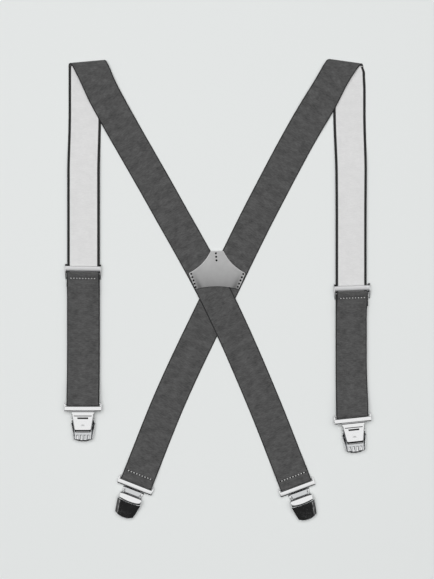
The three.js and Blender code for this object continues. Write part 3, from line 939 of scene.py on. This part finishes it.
def clip_frame_shells():
    """The loop, the necked rear plate with its pressed panel, slot, dimple and lip, and the two ears."""
    rows = path_rows([(-6.0, 3.2), (-7.6, 2.9), (-8.7, 0.7), (-9.8, 0.6), (-27.4, 0.6), (-28.8, 0.95),
                      (-30.3, 1.0)], 0.25)
    widths = [(6.0, 13.0), (8.0, 12.2), (28.2, 8.8), (29.4, 8.4), (30.4, 7.2)]
    surface, share, half = plate_surface(rows, widths, 61)
    x, y = surface[..., 0].copy(), surface[..., 1].copy()
    from_side = half * (1 - np.abs(share))
    on_plate = smooth_step((-y - 10.4) / 1.2)
    panel = smooth_step((from_side - 1.7) / 0.6) * smooth_step((-y - 12.4) / 0.6)
    panel = panel * smooth_step((27.0 + y) / 0.6)
    dimple = smooth_step((3.0 - np.hypot(x, y + 24.2)) / 2.4)
    flange = smooth_step((0.9 - from_side) / 0.9)
    surface[..., 2] += on_plate * (0.26 * panel + 0.1 * dimple + 0.55 * flange)
    slot_rows = np.flatnonzero(np.abs(rows[:, 0] + 15.1) < 0.95)
    slot_columns = np.flatnonzero(np.abs(x[slot_rows[0]]) < 5.8)
    slot = (slot_rows[0], slot_rows[-1], slot_columns[0], slot_columns[-1])
    shells = [
        sheet_shell(surface, 1.0, hole=slot),
        rounded_bar(-5.35, 2.55, 2.6, 1.15, 19.6, 0.7, square=4.5),
        rod(0, LOOP_BAR_HEIGHT, 1.0, 18.9),
    ]
    ear = [(-18.9, 0.5), (-9.6, 0.5), (-9.6, 3.4), (-12.0, 3.5), (-13.8, 2.9), (-14.3, 5.2)]
    crown = np.linspace(0, np.pi, 9)[1:]
    ear += list(zip(LEVER_PIN[0] + 1.6 * np.cos(crown), LEVER_PIN[1] + 1.6 * np.sin(crown)))
    arm = [(-5.0, 1.9), (0.0, 1.9), (0.7, 2.3), (0.7, 3.3), (0.0, 3.6), (-5.0, 3.6)]
    return shells + slab_pair(ear, 8.6, 9.6) + slab_pair(arm, 18.2, 19.6, 0.35)


def clip_lever_shells():
    """The lever: a domed roll over the ears, a tapered cover with turned-down sides, discs and the cam."""
    rows = path_rows([(-14.7, 6.9), (-15.6, 7.75), (-17.2, 8.3), (-19.2, 8.5), (-20.3, 8.45), (-20.8, 7.9),
                      (-21.0, 7.15), (-21.9, 6.85), (-39.2, 4.75)], 0.3)
    widths = [(14.7, 11.4), (15.4, 12.0), (20.3, 12.0), (20.9, 12.9), (21.6, 13.0), (37.4, 10.3),
              (39.2, 9.9)]
    surface, share, half = plate_surface(rows, widths)
    y = surface[..., 1].copy()
    cover = smooth_step((-y - 20.6) / 0.5)
    from_side = half * (1 - np.abs(share))
    flank = np.clip((3.4 - from_side) / 3.4, 0, 1)
    surface[..., 2] -= cover * flank * 1.7 + (1 - cover) * 0.9 * np.abs(share) ** 6
    # The roll bows towards the free end, which is an arc, a little turned down.
    bow = smooth_step((-y - 15.5) / 4) * (1 - smooth_step((-y - 23) / 8))
    surface[..., 1] -= 1.5 * bow * (1 - share**2)
    reach = smooth_step((-y - 30.0) / 9.2)
    surface[..., 1] -= reach * 0.6 - reach * 2.4 * share**2
    surface[..., 2] -= 0.6 * smooth_step((-y - 37.9) / 1.3)
    shells = [sheet_shell(surface, 1.0)]
    cam = [(-14.3, 5.2), (-14.7, 4.1), (-15.5, 3.0), (-16.9, 2.95), (-18.3, 3.6), (-19.1, 5.0), (-19.6, 6.6),
           (-18.9, 7.8), (-17.0, 8.1), (-15.5, 7.5), (-14.6, 6.4)]
    return shells + [slab(cam, -8, 8)] + slab_pair(disc(-17.4, 5.2, 2.9), 11, 12)


def clip_jaw_shells():
    """The front jaw: a hinged plate with a rolled barrel and five curved teeth."""
    rows = path_rows([(-11.2, 2.5), (-12.6, 2.15), (-31.0, 2.15), (-33.2, 2.0)], 0.5)
    surface, share, _ = plate_surface(rows, [(11, 8.2), (19.4, 8.2), (21.2, 8.9), (33.4, 8.9)], 25)
    surface[..., 2] += 0.25 * np.abs(share) ** 4
    crest_rows = path_rows([(-8.7, 3.1), (-9.4, 3.7), (-12.4, 4.4), (-13.9, 4.55)], 0.3)
    crest, share, _ = plate_surface(crest_rows, [(8.7, 9.8), (12.8, 8.2), (14, 8.1)], 33)
    crest[..., 2] -= 0.5 * share**4
    shells = [sheet_shell(surface, 0.85), rod(*JAW_PIN, 1.0, 8.2), sheet_shell(crest, 0.8)]
    tooth_rows = path_rows([(-31.6, 2.2), (-32.6, 2.1), (-34.6, 1.45), (-37.5, 0.5)], 0.25)
    pitch = 17.8 / (TEETH - 0.42)
    for number in range(TEETH):
        tooth, share, _ = plate_surface(tooth_rows, [(32, 1.13), (36.6, 1.1), (37.6, 0.75)], 9)
        tooth[..., 2] += 0.2 * share**2
        tooth[..., 0] += -8.9 + pitch * (number + 0.29)
        shells.append(sheet_shell(tooth, 0.8))
    return shells


def adjuster_frame_shells():
    """The broad bar that shows, the thin bar the strap is sewn round, and the side walls with their lugs."""
    wall = [(-11.4, 0.4), (-9.6, 0.4), (-7.4, 2.6), (1.6, 3.9), (2.3, 4.4), (2.3, 5.8), (1.6, 6.2),
            (-1.8, 6.2), (-5.8, 6.4), (-7.2, 5.2), (-11.4, 2.0)]
    shells = [
        rounded_bar(1.5, 5.4, 4.6, 0.58, 18.8, 0.5, square=2.0, upper=1.0),
        rod(WRAP_BAR["y"], WRAP_BAR["z"], WRAP_BAR["r"], 18.3),
    ]
    return shells + slab_pair(wall, 18.1, 18.8, 0.15)


def adjuster_lug_shells():
    """Four small lugs beside the strap, above and below the ends of the broad bar, drawn near black as
    painted shade for the dark gaps at the strap's corners.
    """
    shells = []
    for y in (-4.1, 3.5):
        lug = [(y - 0.9, 4.4), (y + 0.9, 4.4), (y + 0.9, 6.3), (y - 0.9, 5.6)]
        shells += slab_pair(lug, 17.0, 19.0, 0.1)
    return shells


def adjuster_cover_shells():
    """The hinged cover underneath, with two gripping ridges below the bar."""
    rows = path_rows([(-10.5, 1.0), (-9.6, 0.5), (3.8, 0.5), (4.3, 0.75)], 0.35)
    surface, _, _ = plate_surface(rows, [(-5, 17.2), (10, 17.6), (11, 17.6)], 33)
    shells = [sheet_shell(surface, 0.85), rod(*COVER_PIN.values(), 1.0, 17.6)]
    for y in (-1.4, 0.8):
        shells.append(slab([(y - 0.6, 0.6), (y + 0.6, 0.6), (y + 0.1, 1.9), (y - 0.1, 1.9)], -17, 17, 0.1))
    return shells


# ---- the leather patch

PATCH_TOP = 6.9  # half the patch's straight top
PATCH_SHOULDER = (30.0, 16.9)  # half its greatest width, and that place's height above the lower corners
PATCH_KNEE = (13.2, 25.8)  # pulls the hollow sides inwards
PATCH_FOOT = 22.9
PATCH_ARCH = 2.9
# Rows of stitch holes: the first one, the step to the next and how many, from the middle of the lower edge.
PATCH_HOLES = (
    ((-1.2, 37.9), (0.3, -3.7), 3), ((-27.3, 16.2), (1.15, -3.5), 5), ((27.7, 16.0), (-1.45, -3.4), 5)
)


def patch_half_width(rise, height):
    """Half the patch's width at a height: a straight flare to the shoulders, then a hollow curve.

    The hollow curve is (1-t)^2 shoulder + 2 t (1-t) knee + t^2 top.
    """
    t = np.linspace(0, 1, 60)
    curve_x = (1 - t) ** 2 * PATCH_SHOULDER[0] + 2 * t * (1 - t) * PATCH_KNEE[0] + t**2 * PATCH_TOP
    curve_y = (1 - t) ** 2 * PATCH_SHOULDER[1] + 2 * t * (1 - t) * PATCH_KNEE[1] + t**2 * height
    rises = np.concatenate([[0], curve_y])
    halves = np.concatenate([[PATCH_FOOT], curve_x])
    # The shoulder's corner is rounded by averaging over a little more than a millimetre.
    offsets = np.linspace(-0.7, 0.7, 7)
    return np.mean([np.interp(np.clip(rise + offset, 0, height), rises, halves) for offset in offsets], 0)


def patch_surface(settings, strap):
    """The patch's middle surface, laid over both straps: their top, plus where the left one passes over."""
    low, high = PATCH_LOW[1], PATCH_HIGH[1]
    rows = spread(85)[:, None]
    across = (spread(97) * 2 - 1)[None, :]
    rise = rows * (high - low)
    half = patch_half_width(rise, high - low)
    corner = np.clip((np.abs(across) - 0.93) / 0.07, 0, 1) ** 2
    x = PATCH_CENTRE[0] + across * half
    y = low + rise + PATCH_ARCH * (1 - across**2) * (1 - rows) ** 3
    y += corner * (0.9 * (1 - rows) ** 12 - 0.7 * rows**30)
    plan = np.stack([x, y], -1)
    over = raised_by_other(plan, "left", strap, 9)
    beside = distance_to(plan.reshape(-1, 2), back_route("left")[0]).reshape(x.shape)
    over *= smooth_step((strap.width / MM / 2 + 14 - beside) / 14)
    underside = strap.thickness / MM + 0.15 + over
    return np.dstack([x, y, underside + settings.thickness / MM / 2])


class SUSPENDERS_OT_patch(bpy.types.Operator):
    """Lays the leather patch over the crossing and sews it down with dark thread"""

    bl_idname = "suspenders.patch"
    bl_label = "Leather patch"

    def execute(self, context):
        settings, thread = context.scene.suspenders_leather, context.scene.suspenders_thread
        surface = patch_surface(settings, context.scene.suspenders_strap)
        shell = sheet_shell(surface, settings.thickness / MM, 0.5)
        patch = make_piece("leather_cover", [shell], leather_material())
        rim = np.exp(-((np.minimum(reach_in(surface, 0), reach_in(surface, 1) * 0.6) / 0.5) ** 2))
        # The second attribute carries painted shade for the leather, darker towards the lower edge.
        rubbed = self.rubbed(surface)
        for name, values in (("cut", rim), ("painted_shade", np.clip(rubbed, 0, 1.3))):
            attribute = patch.data.attributes.new(name, "FLOAT", "POINT")
            values = np.concatenate([values.ravel(), values[1:-1, 1:-1].ravel()])
            attribute.data.foreach_set("value", values.astype(np.float32))
        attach(patch, "root")
        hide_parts("leather_patch")

        holes = []
        for start, step, count in PATCH_HOLES:
            for number in range(count):
                holes.append(np.array(start) + np.array(step) * number)
        plan = np.array(holes) + np.array([PATCH_CENTRE[0], PATCH_LOW[1]])
        flat = surface.reshape(-1, 3)
        nearest = ((plan[:, None, :] - flat[None, :, :2]) ** 2).sum(-1).argmin(1)
        heights = flat[nearest, 2] + settings.thickness / MM / 2
        centres = np.column_stack([plan, heights])
        stitches = make_piece(
            "patch_stitches", hole_shells(centres, 1.15, 0.3), thread_material("DarkThreadAndHoleShade", thread.dark)
        )
        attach(stitches, "root")
        return {"FINISHED"}

    def rubbed(self, surface):
        """Painted shade on the leather: how much darker it is drawn, more towards the lower edge, most
        beside the seams.
        """
        rise = surface[..., 1] - PATCH_LOW[1]
        inset = reach_in(surface, 1)
        low = 0.95 * np.clip(1 - rise / 34, 0, 1) ** 1.6
        beside = np.exp(-(((inset - 5.2) / 2.6) ** 2)) * np.clip(1.2 - rise / 19, 0, 1)
        margin = np.exp(-((inset / 2.0) ** 2)) * np.clip(1.2 - rise / 22, 0, 1)
        return low + 0.5 * beside - 0.6 * margin


# ---- operators for the straps


def strap_pieces(side):
    """Each piece's name and the node it stands for, in order along the strap."""
    return (
        ("return_webbing", f"return_ply_{side}"),
        ("running_webbing", f"running_ply_{side}"),
        ("front_webbing", f"front_strap_{side}"),
        ("fold_webbing", f"shoulder_fold_{side}"),
        ("back_webbing", f"back_strap_{side}"),
    )


class SUSPENDERS_OT_webbing(bpy.types.Operator):
    """Carries the webbing along both straps, and cuts it into pieces where the straps bend and slide"""

    bl_idname = "suspenders.webbing"
    bl_label = "Webbing"

    def execute(self, context):
        settings = context.scene.suspenders_strap
        material = webbing_material()
        profile, around = webbing_profile(settings.width / MM, settings.thickness / MM)
        for side in SIDES:
            centres, across, first = strap_path(side, settings)
            along = measured(centres)
            if side == "right":
                across = across * eased(along - along[first["fold"]], CUPPED)[:, None]
            rings = strap_rings(centres, across, along, profile, crossing_lift(side, settings))
            rings += fold_tuck(side, along - along[first["fold"]], profile, across)
            fold_start = np.searchsorted(along, along[first["fold"]] - FOLD_REACH)
            fold_end = np.searchsorted(along, along[first["back"]] + FOLD_REACH)
            cuts = [0, first["running"], first["front"], fold_start, fold_end, len(along) - 1]
            for (name, node), start, stop in zip(strap_pieces(side), cuts[:-1], cuts[1:]):
                stretch = slice(start, stop + 1)
                shell = loft(rings[stretch], around, along[stretch] * MM)
                piece = make_piece(f"{name}_{side}", [shell], material)
                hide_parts(node)
                # Painted shade: the inside of the fold takes the dark outer face's colour.
                if name == "fold_webbing":
                    self.darken_inside(piece, along[first["fold"]] * MM, along[first["back"]] * MM)
                self.attach(piece, name, side)
        return {"FINISHED"}

    def darken_inside(self, piece, start, stop):
        """Paints shade inside the turn: gives the inside of the turn the outer face's colour, so an opened
        fold shows no light sliver.
        """
        layer = piece.data.uv_layers.active.uv
        place = np.zeros(len(layer) * 2, np.float32)
        layer.foreach_get("vector", place)
        u, v = place[::2], place[1::2]
        turn = (u > FACE_SPLIT - 0.002) & (v > start - 0.0015) & (v < stop + 0.0015)
        u[turn] -= FACE_SPLIT
        layer.foreach_set("vector", place)

    def attach(self, piece, name, side):
        """Rides a piece on its body, or bakes its transform and leaves it where it lies."""
        if name == "back_webbing":
            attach(piece, "root")
        elif name == "front_webbing":
            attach(piece, f"front_{side}")
        elif name == "fold_webbing":
            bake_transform(piece)
        elif name == "running_webbing":
            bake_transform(piece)
        else:
            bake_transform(piece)


class SUSPENDERS_OT_stitching(bpy.types.Operator):
    """Sews the hem at each back clip and the hem in each adjuster with a row of stitches"""

    bl_idname = "suspenders.stitching"
    bl_label = "Strap stitching"

    def execute(self, context):
        strap, thread = context.scene.suspenders_strap, context.scene.suspenders_thread
        top = strap.thickness / MM / 2
        for side in SIDES:
            bar, axis = joint_place(f"back_clip_swing_{side}")
            middle = bar + np.cross(UP, axis) * BACK_HEM_ROW
            middle[2] = OVER_HEM + top
            self.sew(f"back_hem_stitches_{side}", middle, axis, "root", thread)
            origin, axis, up_strap, _ = slider_place(side)
            middle = origin - up_strap * ADJUSTER_HEM_ROW
            ply, _ = return_stretch(side, strap)
            upper = ply[len(ply) // 4:]
            middle[2] = upper[np.abs(upper[:, 1] - middle[1]).argmin(), 2] + top + 0.15
            self.sew(f"adjuster_hem_stitches_{side}", middle, axis, f"adjuster_{side}", thread)
        return {"FINISHED"}

    def sew(self, name, middle, axis, body, thread):
        """One row of light stitches, and in each gap a small dark ball: painted shade for the needle hole.
        """
        radius = thread.thickness / MM / 2
        start, stop = middle - axis * STITCH_ROW / 2, middle + axis * STITCH_ROW / 2
        stitches = stitch_shells(start, stop, STITCHES, 0.4, radius)
        row = make_piece(name, stitches, thread_material("Thread", thread.colour))
        gaps = start + (stop - start) * (np.arange(STITCHES + 1)[:, None] / STITCHES)
        # Painted shade: the dark balls in the gaps stand in for the shade in the needle holes.
        dark = thread_material("DarkThreadAndHoleShade", thread.dark)
        holes = make_piece(f"{name}_holes", hole_shells(gaps, 0.75, 0.2), dark)
        for piece in (row, holes):
            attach(piece, body)


# ---- operators for the metal


def metal_piece(name, shells, place, body, material):
    """Builds one metal part and lets it ride on its body."""
    piece = make_piece(name, placed(shells, place), material)
    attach(piece, body)
    return piece


def build_clips(end):
    frame_shells, lever_shells, jaw_shells = clip_frame_shells(), clip_lever_shells(), clip_jaw_shells()
    # Painted shade: a near-black plate under the rear plate's slot stands in for the shade inside the
    # opening.
    slot_shade = slab([(-13.6, 1.45), (-16.8, 1.75), (-16.8, 2.05), (-13.6, 1.75)], -6.5, 6.5, 0.05)
    finishes = {"chrome": chrome_material(), "steel": steel_material()}
    for side in SIDES:
        place = clip_place(end, side)
        clip = f"{end}_clip_{side}"
        parts = (
            ("frame", frame_shells, clip, "chrome"),
            ("lever", lever_shells, f"{end}_lever_{side}", "chrome"),
            ("jaw", jaw_shells, f"{end}_jaw_{side}", "steel"),
            ("jaw_pin", [rod(*JAW_PIN, 0.55, 9.6, 0.15)], clip, "steel"),
            ("lever_pin", [rod(*LEVER_PIN, 0.8, 12.2, 0.2)], clip, "steel"),
        )
        for part, shells, body, finish in parts:
            piece = metal_piece(f"stamped_{clip}_{part}", shells, place, body, finishes[finish])
            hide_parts(f"{clip}_{part}")
        metal_piece(f"stamped_{clip}_tongue", [slot_shade], place, clip, dark_steel_material())


class SUSPENDERS_OT_back_clips(bpy.types.Operator):
    """Builds the two clips at the ends of the back straps, lever up"""

    bl_idname = "suspenders.back_clips"
    bl_label = "Back clips"

    def execute(self, context):
        build_clips("back")
        return {"FINISHED"}


class SUSPENDERS_OT_front_clips(bpy.types.Operator):
    """Builds the two clips at the ends of the front straps, lever down"""

    bl_idname = "suspenders.front_clips"
    bl_label = "Front clips"

    def execute(self, context):
        build_clips("front")
        return {"FINISHED"}


class SUSPENDERS_OT_adjusters(bpy.types.Operator):
    """Builds the two strap adjusters: frame, hinged cover and pin"""

    bl_idname = "suspenders.adjusters"
    bl_label = "Adjusters"

    def execute(self, context):
        for side in SIDES:
            place = slider_place(side)
            body = f"adjuster_{side}"
            parts = (
                ("frame", adjuster_frame_shells(), body, satin_material(), "chrome"),
                ("cover", adjuster_cover_shells(), f"adjuster_cover_{side}", satin_material(), "chrome"),
                ("pin", [rod(*COVER_PIN.values(), 0.5, 18.8, 0.15)], body, steel_material(), "steel"),
            )
            for part, shells, rides_on, material, slot in parts:
                piece = metal_piece(f"stamped_{body}_{part}", shells, place, rides_on, material)
                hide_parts(f"{body}_{part}")
            # Painted shade: the lugs are near black, for the dark gaps beside the strap's corners.
            lugs = adjuster_lug_shells()
            metal_piece(f"stamped_{body}_lugs", lugs, place, body, dark_steel_material())
        return {"FINISHED"}


# ---- stage

FLOOR_HALF = 4.0
KEY_PLACE = (-0.2, 0.3, 2.6)
KEY_SIZE = 2.6
SENSOR_WIDTH = 36.0
VIEW_HEIGHT = 0.6137  # metres of floor that the sensor's width takes in
CAMERA_SHIFT = -0.0009


class SUSPENDERS_OT_stage(bpy.types.Operator):
    """Sets the floor, the soft light and the camera straight above"""

    bl_idname = "suspenders.stage"
    bl_label = "Stage"

    def execute(self, context):
        settings = context.scene.suspenders_stage
        self.make_floor(settings)
        self.make_sky(settings)
        self.make_light(settings)
        self.make_camera(settings)
        context.scene.view_settings.view_transform = "Standard"
        return {"FINISHED"}

    def make_floor(self, settings):
        half = FLOOR_HALF
        mesh = bpy.data.meshes.new("floor")
        mesh.from_pydata([(-half, -half, 0), (half, -half, 0), (half, half, 0), (-half, half, 0)], [],
                         [(0, 1, 2, 3)])
        mesh.materials.append(plain_material("Floor", settings.floor, 0.9))
        floor = linked("floor", mesh)

    def make_sky(self, settings):
        """A bright ceiling that falls to a dark room towards -Y and +Y, as smooth steps of direction."""
        world = bpy.data.worlds.new("Studio")
        world.use_nodes = True
        bpy.context.scene.world = world
        wire = Wiring(world.node_tree)
        shader = world.node_tree.nodes["Background"]
        place = wire.add("TexCoord").outputs["Generated"]
        parts = wire.add("SeparateXYZ", {"Vector": place}).outputs
        ceiling = wire.ramp(parts["Y"], -0.33, -0.10)
        behind = wire.ramp(parts["Y"], 0.60, 0.80, 1.0, 0.12)
        walls = wire.ramp(parts["Z"], 0.45, 0.72, 0.10, 1.0)
        level = wire.times(wire.times(ceiling, behind), walls)
        level = wire.plus(level, 0.02)
        wire.put(wire.grey(level), shader.inputs["Color"])
        shader.inputs["Strength"].default_value = settings.sky

    def make_light(self, settings):
        data = bpy.data.lights.new("Key", "AREA")
        data.shape = "DISK"
        data.size = KEY_SIZE
        data.energy = settings.key
        light = linked("Key", data)
        light.location = KEY_PLACE
        light.rotation_euler = (-light.location).to_track_quat("-Z", "Y").to_euler()
        light.visible_glossy = False

    def make_camera(self, settings):
        data = bpy.data.cameras.new("Camera")
        data.sensor_width = SENSOR_WIDTH
        data.lens = data.sensor_width * settings.camera_height / VIEW_HEIGHT
        camera = linked("Camera", data)
        camera.location = (CAMERA_SHIFT, 0.0, settings.camera_height)
        bpy.context.scene.camera = camera


# ---- add-on

OPERATORS = (
    SUSPENDERS_OT_webbing,
    SUSPENDERS_OT_patch,
    SUSPENDERS_OT_stitching,
    SUSPENDERS_OT_back_clips,
    SUSPENDERS_OT_front_clips,
    SUSPENDERS_OT_adjusters,
    SUSPENDERS_OT_stage,
)


class SUSPENDERS_PT_panel(bpy.types.Panel):
    bl_idname = "SUSPENDERS_PT_panel"
    bl_label = "Suspenders"
    bl_space_type = "VIEW_3D"
    bl_region_type = "UI"
    bl_category = "Suspenders"

    def draw(self, context):
        for operator in OPERATORS:
            self.layout.operator(operator.bl_idname)
        for name in SETTINGS:
            box = self.layout.box()
            group = getattr(context.scene, name)
            for key in group.bl_rna.properties.keys():
                if key not in ("rna_type", "name"):
                    box.prop(group, key)


CLASSES = (*SETTINGS.values(), *OPERATORS, SUSPENDERS_PT_panel)


def register():
    for cls in CLASSES:
        bpy.utils.register_class(cls)
    for name, group in SETTINGS.items():
        setattr(bpy.types.Scene, name, PointerProperty(type=group))


def unregister():
    for name in SETTINGS:
        delattr(bpy.types.Scene, name)
    for cls in reversed(CLASSES):
        bpy.utils.unregister_class(cls)


def main():
    register()
    for operator in OPERATORS:
        module, name = operator.bl_idname.split(".")
        getattr(getattr(bpy.ops, module), name)()


if __name__ == "__main__":
    main()
